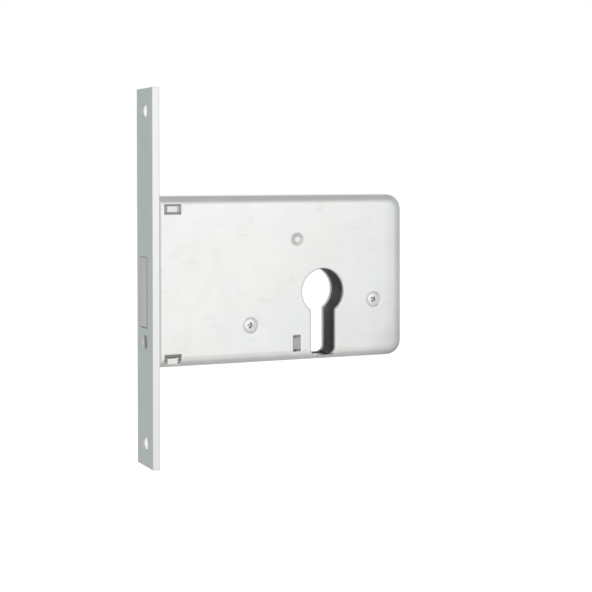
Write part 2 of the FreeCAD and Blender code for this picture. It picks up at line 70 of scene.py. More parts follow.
# %% [markdown]
# ## The camera
# The photograph was taken from the left of the case, a hand's breadth above its middle, with a
# long lens. The camera stands level-headed and its picture is shifted, so that upright edges
# stay upright. The place and turn were found by fitting the lock's known edges to the picture.

# %% Camera
camera_place = Vector((-238.0, -512.5, 45.7)) * millimetre
camera_yaw = math.radians(24.08)
camera_pitch = math.radians(0.78)
camera_roll = math.radians(0.08)
lens_mm, sensor_mm = 88.29, 36.0
picture_shift = (0.0014, -0.1748)

camera_data = bpy.data.cameras.new("portrait_camera")
camera_data.sensor_width = sensor_mm
camera_data.lens = lens_mm
camera_data.shift_x, camera_data.shift_y = picture_shift
camera_data.clip_start = 0.01
camera_data.clip_end = 50.0
camera = bpy.data.objects.new("portrait_camera", camera_data)
bpy.context.scene.collection.objects.link(camera)
camera.location = camera_place
camera.rotation_euler = (Matrix.Rotation(-camera_yaw, 3, "Z")
                         @ Matrix.Rotation(math.radians(90) - camera_pitch, 3, "X")
                         @ Matrix.Rotation(-camera_roll, 3, "Z")).to_euler()
bpy.context.scene.camera = camera
bpy.context.scene.view_settings.view_transform = "Standard"
print("camera is", round(camera_place.length, 3), "m from the cylinder's axis")

# %% [markdown]
# ## Helpers for finishes
# Every finish here is a node tree on the Principled shader, and two helpers save most of the
# typing: one adds a node and sets its inputs by name, the other links an output to an input.

# %% Add and join nodes
def add(tree, kind, settings=None, **inputs):
    """Adds a shader node, with its settings, and its inputs given by name."""
    made = tree.nodes.new(kind)
    for key, value in (settings or {}).items():
        setattr(made, key, value)
    for key, value in inputs.items():
        made.inputs[key.replace("_", " ")].default_value = value
    return made


def join(tree, source, output, target, target_input):
    """Links an output to an input."""
    tree.links.new(source.outputs[output], target.inputs[target_input])


print("node helpers: add and join")

# %% [markdown]
# ## Noises and ranges
# All patterns read Object coordinates, which are metres on the piece itself, so a scale of 1000 is
# one cell per millimetre. A noise may be stretched along an axis, and its values keep mostly to
# the middle, so it is the middle that is mapped onto the range of numbers that a finish needs.

# %% Noises and ranges
def noise(tree, place, scale, stretch=(1, 1, 1), detail=2.0, roughness=0.5):
    """A noise on Object coordinates, squeezed by stretch along each axis."""
    squeeze = add(tree, "ShaderNodeMapping", Scale=stretch)
    made = add(tree, "ShaderNodeTexNoise", Scale=scale, Detail=detail, Roughness=roughness)
    join(tree, place, "Object", squeeze, "Vector")
    join(tree, squeeze, "Vector", made, "Vector")
    return made


def ramp(tree, source, output, start, end, first, last):
    """Runs from one number to another while a value runs from start to end."""
    made = add(tree, "ShaderNodeMapRange")
    made.inputs["From Min"].default_value = start
    made.inputs["From Max"].default_value = end
    made.inputs["To Min"].default_value = first
    made.inputs["To Max"].default_value = last
    join(tree, source, output, made, "Value")
    return made


def spread(tree, source, low, high, centre=0.5, width=0.25):
    """Maps the middle of a noise onto a range of numbers."""
    return ramp(tree, source, "Fac", centre - width, centre + width, low, high)


print("pattern helpers: noise, ramp and spread")

# %% [markdown]
# ## Blending colours
# Metal has hardly any colour of its own, so its life is in small shifts of tone. Two plain colours
# are blended by a pattern, a mixed one is darkened by a number, and a plain one may lie over it.

# %% Blending colours
def tint(tree, factor, output, first, second):
    """Blends two plain colours by a factor."""
    made = add(tree, "ShaderNodeMix", {"data_type": "RGBA"})
    made.inputs[6].default_value = (*first, 1)
    made.inputs[7].default_value = (*second, 1)
    join(tree, factor, output, made, 0)
    return made


def tint_over(tree, mask, colour, second):
    """Puts a plain colour over a mixed one where a mask is 1."""
    made = add(tree, "ShaderNodeMix", {"data_type": "RGBA"})
    join(tree, mask, "Value", made, 0)
    join(tree, colour, 2, made, 6)
    made.inputs[7].default_value = (*second, 1)
    return made


def darken(tree, colour, factor):
    """Multiplies a mixed colour by a mapped number."""
    made = add(tree, "ShaderNodeMix", {"data_type": "RGBA", "blend_type": "MULTIPLY"})
    made.inputs[0].default_value = 1.0
    join(tree, colour, 2, made, 6)
    join(tree, factor, "Result", made, 7)
    return made


print("colour helpers: tint, tint_over and darken")

# %% [markdown]
# ## Masks
# A finish often changes within one piece: a ground end on a sawn block, a plated hole in a
# linished plate. A mask is 1 on such a place and 0 elsewhere. It could be painted, but a place
# that is told by its millimetres fits the piece exactly and needs no picture.

# %% Masks by a box
def math_node(tree, operation, first, output, second):
    """One sum on two numbers, the second of them plain."""
    made = add(tree, "ShaderNodeMath", {"operation": operation})
    join(tree, first, output, made, 0)
    made.inputs[1].default_value = second
    return made


def all_of(tree, first, *others):
    """1 where every one of the masks is 1."""
    for other in others:
        both = add(tree, "ShaderNodeMath", {"operation": "MULTIPLY"})
        join(tree, first, "Value", both, 0)
        join(tree, other, "Value", both, 1)
        first = both
    return first


def between(tree, place, axis, low, high):
    """1 where a coordinate lies between two values in millimetres, otherwise 0."""
    split = add(tree, "ShaderNodeSeparateXYZ")
    join(tree, place, "Object", split, 0)
    return all_of(tree, math_node(tree, "GREATER_THAN", split, axis, low * millimetre),
                  math_node(tree, "LESS_THAN", split, axis, high * millimetre))


def inside_box(tree, place, box):
    """1 inside a box, which gives (low, high) in millimetres for each axis that matters."""
    return all_of(tree, *(between(tree, place, axis, *box[axis]) for axis in box))


print("mask helpers: all_of, between and inside_box")

# %% [markdown]
# ## Masks round an axis
# A drilled hole or a screw is round, so a box would miss its corners. The distance from its axis
# is what tells it: the way from a point on the axis, flattened along the axis, and its length.

# %% Masks round an axis
def near_axes(tree, place, points, across, radius):
    """1 within a radius of an axis through each point, in millimetres, otherwise 0.

    The vector across is 0 along the axes and 1 the other two ways.
    """
    total = None
    for point in points:
        off = add(tree, "ShaderNodeVectorMath", {"operation": "SUBTRACT"})
        join(tree, place, "Object", off, 0)
        off.inputs[1].default_value = tuple(c * millimetre for c in point)
        flat = add(tree, "ShaderNodeVectorMath", {"operation": "MULTIPLY"})
        join(tree, off, "Vector", flat, 0)
        flat.inputs[1].default_value = across
        away = add(tree, "ShaderNodeVectorMath", {"operation": "LENGTH"})
        join(tree, flat, "Vector", away, 0)
        inside = math_node(tree, "LESS_THAN", away, "Value", radius * millimetre)
        if total is None:
            total = inside
        else:
            both = add(tree, "ShaderNodeMath", {"operation": "ADD"})
            join(tree, total, "Value", both, 0)
            join(tree, inside, "Value", both, 1)
            total = both
    return total


along_x, along_y = (0, 1, 1), (1, 0, 1)
print("mask helper: near_axes, for axes along x", along_x, "and along y", along_y)

# %% [markdown]
# ## A bare metal
# Every finish starts from the same shader, fully metallic, and ends with a bump. No real edge is
# perfectly sharp, so the bump lies over a normal that is rounded at the edges by a small radius.

# %% New metal and its bump
def new_metal(name):
    """A bare metal material: its tree, its shader and its Object coordinates."""
    material = bpy.data.materials.new(name)
    material.use_nodes = True
    tree = material.node_tree
    shader = tree.nodes["Principled BSDF"]
    shader.inputs["Metallic"].default_value = 1.0
    return material, tree, shader, add(tree, "ShaderNodeTexCoord")


def emboss(tree, shader, height, depth, edge_round):
    """Turns a noise into a bump of a real depth, over edges rounded by a small radius."""
    rounded = add(tree, "ShaderNodeBevel", {"samples": 8}, Radius=edge_round)
    made = add(tree, "ShaderNodeBump", Strength=1.0, Distance=depth)
    join(tree, height, "Fac", made, "Height")
    join(tree, rounded, "Normal", made, "Normal")
    join(tree, made, "Normal", shader, "Normal")


print("metal helpers: new_metal and emboss")

# %% [markdown]
# ## Where shade is painted on the zinc
# In the photograph the case's zinc reads a little greyer towards the rear edge, most of all at the
# lower corner, and dark on the inner sides that the open slot shows. Both are shade, painted here
# into the zinc's colour: a slope of tone along a direction makes the first, and boxes tell the
# second.

# %% Painted shade on the case
# Painted shade: the zinc is darkened towards the rear edge, most at the lower corner, where the
# light falls off.
painted_falloff_ways = (
    ((1, 0, -1), 38.0, 60.0, 0.80),
    ((1, 0, 0), 26.0, 30.5, 0.90),
)
# Painted shade in the places that the open slot shows: its floor, its lower edge and the case's
# inner sides.
painted_shade_places = {
    "inner floor": ({"X": (0.4, 6.0), "Y": (-4.9, 5.06), "Z": (-25.14, -24.66)},
                    (0.45, 0.45, 0.44)),
    "slot floor": ({"X": (-2.3, 4.6), "Z": (-24.68, -24.0)}, (0.33, 0.33, 0.32)),
    "shaded slot edge": ({"X": (-2.6, 4.0), "Y": (-5.36, -5.0), "Z": (-25.02, -24.62)},
                     (0.60, 0.60, 0.59)),
    "inner back": ({"X": (-9.5, 0.0), "Y": (5.0, 5.07), "Z": (-26.0, -16.0)},
                   (0.50, 0.50, 0.49)),
}


def painted_falloff_towards(tree, place, way, start, end, least):
    """1 on most of the case, falling to least along a way, between two distances in mm, as painted
    shade.
    """
    along = add(tree, "ShaderNodeVectorMath", {"operation": "DOT_PRODUCT"})
    join(tree, place, "Object", along, 0)
    along.inputs[1].default_value = way
    return ramp(tree, along, "Value", start * millimetre, end * millimetre, 1.0, least)


print("dulled places of the case:", ", ".join(painted_shade_places))

# %% [markdown]
# ## Bright zinc on drawn sheet
# The case is pressed from cold-rolled strip and plated in bright zinc. Close to, the plating is
# never even: soft clouds a centimetre or two across, a little straw-coloured here and
# violet-grey there, over faint streaks left by the rolls and short scuffs from handling. The
# clouds and scuffs go into colour and roughness, and the streaks into a bump a few microns deep.

# %% Zinc plating
straw, violet_grey = (0.980, 0.976, 0.935), (0.955, 0.966, 0.985)
cloud_scale, murk_scale, scuff_scale = 30.0, 75.0, 420.0
haze_scale, streak_scale = 140.0, 700.0
murk_darkest, scuff_darkest = 0.945, 0.965
zinc_roughness = (0.27, 0.36)
zinc_streak_depth = 1.5e-6
zinc_edge_round = 0.6 * millimetre


def make_case_zinc():
    """Zinc with soft clouds, scuffs and streaks, and its painted shade."""
    material, tree, shader, place = new_metal("case_zinc")
    warm = noise(tree, place, cloud_scale, detail=3.0, roughness=0.55)
    colour = tint(tree, spread(tree, warm, 0, 1, width=0.16), "Result", straw, violet_grey)
    murk = noise(tree, place, murk_scale, detail=4.0, roughness=0.6)
    colour = darken(tree, colour, spread(tree, murk, murk_darkest, 1.0, width=0.18))
    scuffs = noise(tree, place, scuff_scale, stretch=(0.35, 1, 1), detail=2.0)
    colour = darken(tree, colour,
                    spread(tree, scuffs, scuff_darkest, 1.0, centre=0.33, width=0.05))
    # Painted shade towards the rear edge and the lower corner.
    for way, start, end, least in painted_falloff_ways:
        colour = darken(tree, colour, painted_falloff_towards(tree, place, way, start, end, least))
    # Painted shade over the slot's places.
    for box, shade in painted_shade_places.values():
        colour = tint_over(tree, inside_box(tree, place, box), colour, shade)
    join(tree, colour, 2, shader, "Base Color")
    haze = noise(tree, place, haze_scale, detail=4.0, roughness=0.6)
    join(tree, spread(tree, haze, *zinc_roughness), "Result", shader, "Roughness")
    streaks = noise(tree, place, streak_scale, stretch=(1, 1, 0.05), detail=2.0)
    emboss(tree, shader, streaks, zinc_streak_depth, zinc_edge_round)
    return material


finishes = {"case_zinc": make_case_zinc()}
print("made case_zinc")

# %% [markdown]
# ## Satin nickel
# The faceplate and the bolt's end are linished on a belt that runs along their length, and then
# nickel plated. The belt leaves fine lines up and down the plate, much longer than they are wide.
# It never reaches into the screw holes, so their walls stay smoother, and their colour is painted
# paler than the plate, as painted light. Two narrow places read dark in the photograph, where
# shade falls in their gaps, and are painted dark as painted shade: the far wall of the bolt's
# opening in the plate, and the small bevel along the near edge of the bolt's end.

# %% Satin nickel
wash_scale, wash_tone = 60.0, 1.03
belt_line_scale, belt_line_depth = 2200.0, 3e-6
satin_roughness = (0.27, 0.35)
nickel_edge_round = 0.35 * millimetre
# The holes' colour is painted light, paler than the plate.
hole_painted_light_colour, hole_roughness = (0.98, 0.98, 0.98), 0.12


def make_satin_nickel(name, base, shade_box, shade_tone, holes=(), hole_radius=0.0):
    """Nickel with the belt's lines, painted shade in a place told by a box, and holes along X
    painted paler as painted light.
    """
    material, tree, shader, place = new_metal(name)
    wash = noise(tree, place, wash_scale, stretch=(1, 1, 0.3), detail=2.0)
    paler = tuple(c * wash_tone for c in base)
    colour = tint(tree, spread(tree, wash, 0, 1), "Result", base, paler)
    lines = noise(tree, place, belt_line_scale, stretch=(1, 1, 0.01), detail=3.0)
    satin = spread(tree, lines, *satin_roughness)
    if holes:
        inside = near_axes(tree, place, holes, along_x, hole_radius)
        # Painted light: the holes' walls are painted paler than the plate.
        colour = tint(tree, inside, "Value", base, hole_painted_light_colour)
        polished = add(tree, "ShaderNodeMix", {"data_type": "FLOAT"})
        join(tree, inside, "Value", polished, 0)
        join(tree, satin, "Result", polished, 2)
        polished.inputs[3].default_value = hole_roughness
        join(tree, polished, 0, shader, "Roughness")
    else:
        join(tree, satin, "Result", shader, "Roughness")
    # Painted shade over the place told by the box.
    colour = tint_over(tree, inside_box(tree, place, shade_box), colour, (shade_tone,) * 3)
    join(tree, colour, 2, shader, "Base Color")
    emboss(tree, shader, lines, belt_line_depth, nickel_edge_round)
    return material


face_screw_holes = ((0, 0, -54.55), (0, 0, 68.55))
face_hole_reach = 2.45
# Painted shade: the far wall of the bolt's opening and the bolt's near bevel, where shade falls in
# their gaps.
opening_far_wall = {"X": (-69.98, -67.0), "Y": (4.9, 5.0)}
bolt_near_bevel = {"X": (-70.1, -69.7), "Y": (-2.69, -2.51)}
finishes["faceplate_nickel"] = make_satin_nickel(
    "faceplate_nickel", (0.905, 0.910, 0.905), opening_far_wall, 0.48, face_screw_holes,
    face_hole_reach)
finishes["bolt_nickel"] = make_satin_nickel(
    "bolt_nickel", (0.922, 0.896, 0.855), bolt_near_bevel, 0.25)
print("bright holes in the faceplate:", len(face_screw_holes))

# %% [markdown]
# ## Bright ends and painted shade on the bodies
# The front blocks are plain bar, bright on the tenon ends that stand in the windows. Below the
# case's face they read darker in the photograph, in bands up the block, where shade falls deep in
# the gap, and that shade is painted into their colour. Below the case's face they read duller in
# the photograph, in bands up the block, perhaps from oil or scale or only from the depth of the
# gap. The ends are told by how far they stand out, and the bands by their heights.

# %% Painted shade on the blocks
block_bodies = 4.8
ground_edge = 0.05
# Painted shade on the blocks' bodies below the case's face, and in bands up them.
block_painted_shade = 0.65
block_shade_bands = ((-25.0, -22.75, 0.88), (-22.75, -21.4, 0.31), (30.0, 31.3, 0.38))


def bright_ends_shaded_body(tree, place, reach, body_shade):
    """1 on the ends that stand out past reach millimetres along Y, and a painted shade elsewhere.
    """
    split = add(tree, "ShaderNodeSeparateXYZ")
    join(tree, place, "Object", split, 0)
    outward = add(tree, "ShaderNodeMath", {"operation": "ABSOLUTE"})
    join(tree, split, "Y", outward, 0)
    return ramp(tree, outward, "Value", (reach - ground_edge) * millimetre,
                reach * millimetre, body_shade, 1.0)


print("bands on the blocks:", len(block_shade_bands))

# %% [markdown]
# ## The other steels
# Screws, posts and rivets are turned, so their marks run round them; the tail and the lever are
# stamped from bright strip; the spring is blued by its tempering. One function serves them all,
# with the colour, the roughness and the size of the grain as its values. The cross recesses of
# the screws are painted darker than their heads, as painted shade, so the screws' places, with
# the turn of each cross in degrees, are written down here and serve again where the screws are
# made.

# %% Turned, stamped and tempered steel
steel_cloud_scale, steel_cloud_tone = 120.0, 0.93
smoother, rougher = 0.04, 0.05
cover_screws = {
    "front_cover_screw": (-30.10, -11.90, 12.0),
    "rear_cover_screw": (21.90, -3.90, 38.0),
}
screw_axes = tuple((x, 0, z) for x, z, turn in cover_screws.values())
recess_reach = 1.45
recess_depths = (-5.66, 0.0)
# The recesses' colour is painted shade.
recess_shade_colour = (0.55, 0.55, 0.54)


def make_plain_steel(name, base, rough, grain_scale, grain_depth, edge_round=0.1,
                     shade_below=None, body_shade=1.0, bands=(), recesses=()):
    """Steel with soft clouds and a grain, and if asked painted shade on bodies, in bands and in
    cross recesses.
    """
    material, tree, shader, place = new_metal(name)
    clouds = noise(tree, place, steel_cloud_scale, detail=2.0)
    darker = tuple(c * steel_cloud_tone for c in base)
    colour = tint(tree, spread(tree, clouds, 0, 1), "Result", base, darker)
    # Painted shade on a body below its ends, and in bands.
    if shade_below is not None:
        colour = darken(tree, colour, bright_ends_shaded_body(tree, place, shade_below, body_shade))
    for low, high, tone in bands:
        band = inside_box(tree, place, {"Z": (low, high), "Y": (-shade_below, shade_below)})
        colour = tint_over(tree, band, colour, (tone,) * 3)
    # Painted shade in the cross recesses.
    if recesses:
        inside = near_axes(tree, place, recesses, along_y, recess_reach)
        sunk = all_of(tree, inside, between(tree, place, "Y", *recess_depths))
        colour = tint_over(tree, sunk, colour, recess_shade_colour)
    join(tree, colour, 2, shader, "Base Color")
    join(tree, spread(tree, clouds, rough - smoother, rough + rougher), "Result", shader,
         "Roughness")
    grain = noise(tree, place, grain_scale, detail=3.0)
    emboss(tree, shader, grain, grain_depth, edge_round * millimetre)
    return material


# Each steel: its colour, its roughness, its grain per metre and the grain's depth in metres.
steels = {
    "block_steel": ((0.90, 0.90, 0.87), 0.33, 900.0, 3e-6),
    "guide_steel": ((0.50, 0.50, 0.48), 0.42, 900.0, 6e-6),
    "turned_steel": ((0.95, 0.95, 0.93), 0.27, 1500.0, 2e-6),
    "screw_zinc": ((0.95, 0.95, 0.93), 0.25, 1500.0, 2e-6),
    "bright_steel": ((0.70, 0.71, 0.72), 0.30, 700.0, 6e-6),
    "spring_steel": ((0.28, 0.30, 0.36), 0.28, 900.0, 4e-6),
}
extras = {
    "block_steel": {"shade_below": block_bodies, "body_shade": block_painted_shade, "bands": block_shade_bands},
    "turned_steel": {"edge_round": 0.04},
    "screw_zinc": {"edge_round": 0.05, "recesses": screw_axes},
}
for name, values in steels.items():
    finishes[name] = make_plain_steel(name, *values, **extras.get(name, {}))
print("steels:", ", ".join(steels))

# %% [markdown]
# ## Dressing the frame
# The frame's record names a finish for each piece. The mesh of a piece stays as it came, and only
# its material is changed, so that the lock keeps its exact size.

# %% Give each piece its finish
for part in frame["record"]["subparts"]:
    piece = nodes[part["node"]]
    piece.data.materials.clear()
    piece.data.materials.append(finishes[part["material_slot"]])
print("finishes:", ", ".join(sorted(finishes)))

# %% [markdown]
# ## The cover's screws
# The two screws are the only bright jewellery on the case, so they are made anew round the CAD
# ones: a raised countersunk head with a softly rounded rim, a cross recess whose wings narrow
# downwards, and a shank with the ridges of its thread. Half of the section is drawn as a chain
# of edges and spun round the screw's axis.

# %% Turn a screw from its section
head_section = [(0, -5.81), (0.9, -5.79), (1.6, -5.74), (2.1, -5.68), (2.28, -5.63), (2.36, -5.56),
                (2.33, -5.49), (1.5, -4.67)]
thread_start, thread_end, thread_pitch = -4.30, 2.20, 0.5
thread_root, thread_crest = 1.23, 1.49
screw_end, screw_end_radius = 2.42, 1.0
ridges = int((thread_end - thread_start) / thread_pitch)
thread_section = []
for i in range(ridges):
    ridge_y = thread_start + i * thread_pitch
    thread_section += [(thread_root, ridge_y), (thread_crest, ridge_y + thread_pitch / 2)]
point_section = [(thread_root, thread_end), (screw_end_radius, screw_end), (0, screw_end)]
steps_round = 40


def turned_shape(section, steps):
    """Spins a chain of (radius, y) points, in millimetres, into a closed round shape."""
    shape = bmesh.new()
    points = [shape.verts.new((radius * millimetre, y * millimetre, 0)) for radius, y in section]
    chain = [shape.edges.new(pair) for pair in zip(points, points[1:])]
    bmesh.ops.spin(shape, geom=points + chain, cent=(0, 0, 0), axis=(0, 1, 0), angle=math.tau,
                   steps=steps, use_merge=True, use_duplicate=False)
    bmesh.ops.remove_doubles(shape, verts=shape.verts, dist=1e-6)
    bmesh.ops.recalc_face_normals(shape, faces=shape.faces)
    return shape


print("thread ridges:", ridges)

# %% [markdown]
# ## The cross recess
# The recess could be modelled into the head's faces, but a cutter is what makes it on the real
# screw, so a cutter makes it here: two crossed wings, long and wide at the head's top and shorter
# and narrower at the recess's bottom, taken out of the head as a boolean difference.

# %% The recess's cutter
wing_top_y, wing_bottom_y = -6.3, -5.05
wing_top_size, wing_bottom_size = (3.1, 1.0), (1.2, 0.60)


def recess_wing(angle):
    """One wing of the recess's cutter, turned about the screw's axis."""
    shape = bmesh.new()
    bmesh.ops.create_cube(shape, size=1.0)
    bmesh.ops.translate(shape, vec=(0, 0.5, 0), verts=shape.verts)
    for at_bottom, (span, width) in ((False, wing_top_size), (True, wing_bottom_size)):
        ring = [v for v in shape.verts if (v.co.y > 0.5) == at_bottom]
        bmesh.ops.scale(shape, vec=(span, 1, width), verts=ring)
    bmesh.ops.scale(shape, vec=(1, wing_bottom_y - wing_top_y, 1), verts=shape.verts)
    bmesh.ops.translate(shape, vec=(0, wing_top_y, 0), verts=shape.verts)
    bmesh.ops.scale(shape, vec=(millimetre,) * 3, verts=shape.verts)
    bmesh.ops.rotate(shape, cent=(0, 0, 0), matrix=Matrix.Rotation(angle, 3, "Y"),
                     verts=shape.verts)
    return shape


print("recess depth in mm:", round(wing_bottom_y - head_section[0][1], 2))

# %% [markdown]
# ## Cutting and shading
# A boolean modifier could stay live, but the screw is wanted as one finished mesh, so the cut is
# worked out once and its result kept. Then the mesh is shaded smooth, apart from the edges that
# are sharp on the real screw, such as the rim of the recess.

# %% Cut the recess and keep edges crisp
def placed_object(name, shape, x, z):
    """Makes an object of a bmesh whose own axis is moved to x and z, in millimetres."""
    bmesh.ops.translate(shape, vec=(x * millimetre, 0, z * millimetre), verts=shape.verts)
    mesh = bpy.data.meshes.new(name)
    shape.to_mesh(mesh)
    shape.free()
    made = bpy.data.objects.new(name, mesh)
    bpy.context.scene.collection.objects.link(made)
    return made


def cut_recess(screw, x, z, turn):
    """Cuts the cross recess into a screw's head and keeps the finished mesh."""
    wings = [placed_object("wing", recess_wing(math.radians(turn + side)), x, z)
             for side in (0, 90)]
    for wing in wings:
        cut = screw.modifiers.new("recess", "BOOLEAN")
        cut.operation = "DIFFERENCE"
        cut.solver = "EXACT"
        cut.object = wing
    seen_by = bpy.context.evaluated_depsgraph_get()
    finished = bpy.data.meshes.new_from_object(screw.evaluated_get(seen_by))
    screw.modifiers.clear()
    screw.data = finished
    for wing in wings:
        bpy.data.objects.remove(wing)


def keep_crisp(mesh, degrees):
    """Shades a mesh smooth, apart from edges sharper than an angle."""
    shape = bmesh.new()
    shape.from_mesh(mesh)
    for face in shape.faces:
        face.smooth = True
    for edge in shape.edges:
        edge.smooth = edge.calc_face_angle(0.0) < math.radians(degrees)
    shape.to_mesh(mesh)
    shape.free()


crisp_angle = 35
print("edges sharper than", crisp_angle, "degrees stay crisp")

# %% [markdown]
# ## Both screws in place
# The two screws came to rest at different turns, which the photograph shows, so each has its own
# angle. They ride on the case and stand in for the plain screws of the frame.

# %% Make both cover screws
for node_name, (x, z, turn) in cover_screws.items():
    section = head_section + thread_section + point_section
    screw = placed_object(node_name + "_turned", turned_shape(section, steps_round), x, z)
    cut_recess(screw, x, z, turn)
    keep_crisp(screw.data, crisp_angle)
    screw.data.materials.clear()
    screw.data.materials.append(finishes["screw_zinc"])
    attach(screw, "lock_case")
    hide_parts(node_name)
    print(node_name, "faces:", len(screw.data.polygons))

# %% [markdown]
# ## The white room
# The photograph shows the lock against pure white. The world is white where the camera or the
# metal looks at it, but it lights matt things at a plainer level, so that nothing burns out.

# %% World
def sum_of_rays(tree, names):
    """1 on any of the named kinds of ray, otherwise 0."""
    rays = add(tree, "ShaderNodeLightPath")
    total = None
    for name in names:
        both = add(tree, "ShaderNodeMath", {"operation": "MAXIMUM"})
        join(tree, rays, name, both, 0)
        if total is not None:
            join(tree, total, "Value", both, 1)
        total = both
    return total


white = (1, 1, 1, 1)
room_light_strength = 0.6
world = bpy.data.worlds.new("white_room")
bpy.context.scene.world = world
world.use_nodes = True
sky = world.node_tree
sky.nodes.clear()
shown_white = sum_of_rays(sky, ("Is Camera Ray", "Is Glossy Ray", "Is Transmission Ray"))
white_room = add(sky, "ShaderNodeBackground", Color=white, Strength=1.0)
room_light = add(sky, "ShaderNodeBackground", Color=white, Strength=room_light_strength)
chosen = add(sky, "ShaderNodeMixShader")
join(sky, shown_white, "Value", chosen, 0)
join(sky, room_light, 0, chosen, 1)
join(sky, white_room, 0, chosen, 2)
join(sky, chosen, 0, add(sky, "ShaderNodeOutputWorld"), "Surface")
print("room light:", room_light_strength)

# %% [markdown]
# ## The floor's paint
# The floor is painted pale. Where the camera sees it, it adds a glow to the light that falls on
# it, so it is white in the picture and yet keeps a shadow. Mirrors see it plain white.

# %% Floor paint
floor_paint = (0.9, 0.9, 0.9, 1)
floor_glow = 0.6
paint = bpy.data.materials.new("floor_white")
paint.use_nodes = True
tree = paint.node_tree
tree.nodes.clear()
matt = add(tree, "ShaderNodeBsdfDiffuse", Color=floor_paint)
glow = add(tree, "ShaderNodeEmission", Color=white, Strength=floor_glow)
lit = add(tree, "ShaderNodeAddShader")
join(tree, matt, 0, lit, 0)
join(tree, glow, 0, lit, 1)
seen = add(tree, "ShaderNodeMixShader")
join(tree, sum_of_rays(tree, ("Is Camera Ray", "Is Transmission Ray")), "Value", seen, 0)
join(tree, matt, 0, seen, 1)
join(tree, lit, 0, seen, 2)
mirrored = add(tree, "ShaderNodeMixShader")
join(tree, sum_of_rays(tree, ("Is Glossy Ray",)), "Value", mirrored, 0)
join(tree, seen, 0, mirrored, 1)
join(tree, add(tree, "ShaderNodeEmission", Color=white, Strength=1.0), 0, mirrored, 2)
join(tree, mirrored, 0, add(tree, "ShaderNodeOutputMaterial"), "Surface")
print("floor paint nodes:", len(tree.nodes))

# %% [markdown]
# ## The floor
# The floor is one large face, well below the lock. It is part of the stage and no part of the
# lock.

# %% Floor
floor_drop = 0.4
floor_reach = 20.0


def stage_object(name, shape, material):
    """Puts a bmesh on the stage, where it is no part of the lock."""
    mesh = bpy.data.meshes.new(name)
    shape.to_mesh(mesh)
    shape.free()
    mesh.materials.append(material)
    made = bpy.data.objects.new(name, mesh)
    bpy.context.scene.collection.objects.link(made)
    return made


shape = bmesh.new()
bmesh.ops.create_grid(shape, x_segments=1, y_segments=1, size=floor_reach)
bmesh.ops.translate(shape, vec=(0, 0, cad_box[0].z - floor_drop), verts=shape.verts)
stage_object("floor", shape, paint)
print("floor lies at", round(cad_box[0].z - floor_drop, 3), "m")

# %% [markdown]
# ## Grey flags
# Metal in an all-white room would lose its edges. Photographers hang grey cards, called flags,
# round such an object, just out of the picture, and leave one bright opening in front. A flag here
# glows in its own grey and is seen by the metal only, so it changes no light and casts no shadow.

# %% What a flag is made of
def grey_card(name):
    """A material that glows in one grey; its colour socket may take a slope of tones."""
    material = bpy.data.materials.new(name)
    material.use_nodes = True
    material.node_tree.nodes.clear()
    glow = add(material.node_tree, "ShaderNodeEmission", Strength=1.0)
    join(material.node_tree, glow, 0, add(material.node_tree, "ShaderNodeOutputMaterial"),
         "Surface")
    return material, glow


def hide_from_all_but_mirrors(card):
    """Lets a card show in the metal only."""
    card.visible_camera = False
    card.visible_diffuse = False
    card.visible_transmission = False
    card.visible_shadow = False


print("flag helpers: grey_card and hide_from_all_but_mirrors")

# %% [markdown]
# ## Upright and level flags
# An upright flag is a chain of edges on a plan, raised by an extrusion. A level one is a single
# face, and its grey follows y through a colour ramp, because a card lit from one side pales
# towards the light.

# %% Upright and level flags
level_flag_width = 3.0


def side_flag(name, plan, low, high, grey):
    """An upright card that stands on the points of a plan."""
    material, glow = grey_card(name)
    glow.inputs["Color"].default_value = (*grey, 1)
    shape = bmesh.new()
    points = [shape.verts.new((x, y, low)) for x, y in plan]
    edges = [shape.edges.new(pair) for pair in zip(points, points[1:])]
    raised = bmesh.ops.extrude_edge_only(shape, edges=edges)["geom"]
    bmesh.ops.translate(shape, vec=(0, 0, high - low),
                        verts=[v for v in raised if isinstance(v, bmesh.types.BMVert)])
    hide_from_all_but_mirrors(stage_object(name, shape, material))


def slope_of_tones(tree, y_tones):
    """A colour ramp whose grey follows y, given as (y, grey) pairs."""
    y0, y1 = y_tones[0][0], y_tones[-1][0]
    place = add(tree, "ShaderNodeTexCoord")
    split = add(tree, "ShaderNodeSeparateXYZ")
    join(tree, place, "Object", split, 0)
    along = ramp(tree, split, "Y", y0, y1, 0.0, 1.0)
    slope = add(tree, "ShaderNodeValToRGB")
    stops = slope.color_ramp.elements
    while len(stops) < len(y_tones):
        stops.new(0.5)
    for stop, (y, grey) in zip(stops, y_tones):
        stop.position = (y - y0) / (y1 - y0)
        stop.color = (grey, grey, grey, 1)
    join(tree, along, "Result", slope, "Fac")
    return slope


def level_flag(name, height, y_tones):
    """A level card whose grey follows y, given as (y, grey) pairs."""
    material, glow = grey_card(name)
    tree = material.node_tree
    join(tree, slope_of_tones(tree, y_tones), "Color", glow, "Color")
    y0, y1 = y_tones[0][0], y_tones[-1][0]
    shape = bmesh.new()
    bmesh.ops.create_grid(shape, x_segments=1, y_segments=1, size=0.5)
    bmesh.ops.scale(shape, vec=(level_flag_width, y1 - y0, 1), verts=shape.verts)
    bmesh.ops.translate(shape, vec=(0, (y0 + y1) / 2, height), verts=shape.verts)
    hide_from_all_but_mirrors(stage_object(name, shape, material))


print("level flags are", level_flag_width, "m wide")

# %% [markdown]
# ## Hanging the flags
# The upright flags stand on a plan of points round the lock: mid grey at the left, which gives
# the faceplate its tone, and lighter at the right. The two level ones, above and below, have a
# slope of tones for the case's rounded edges to mirror. All are in metres.

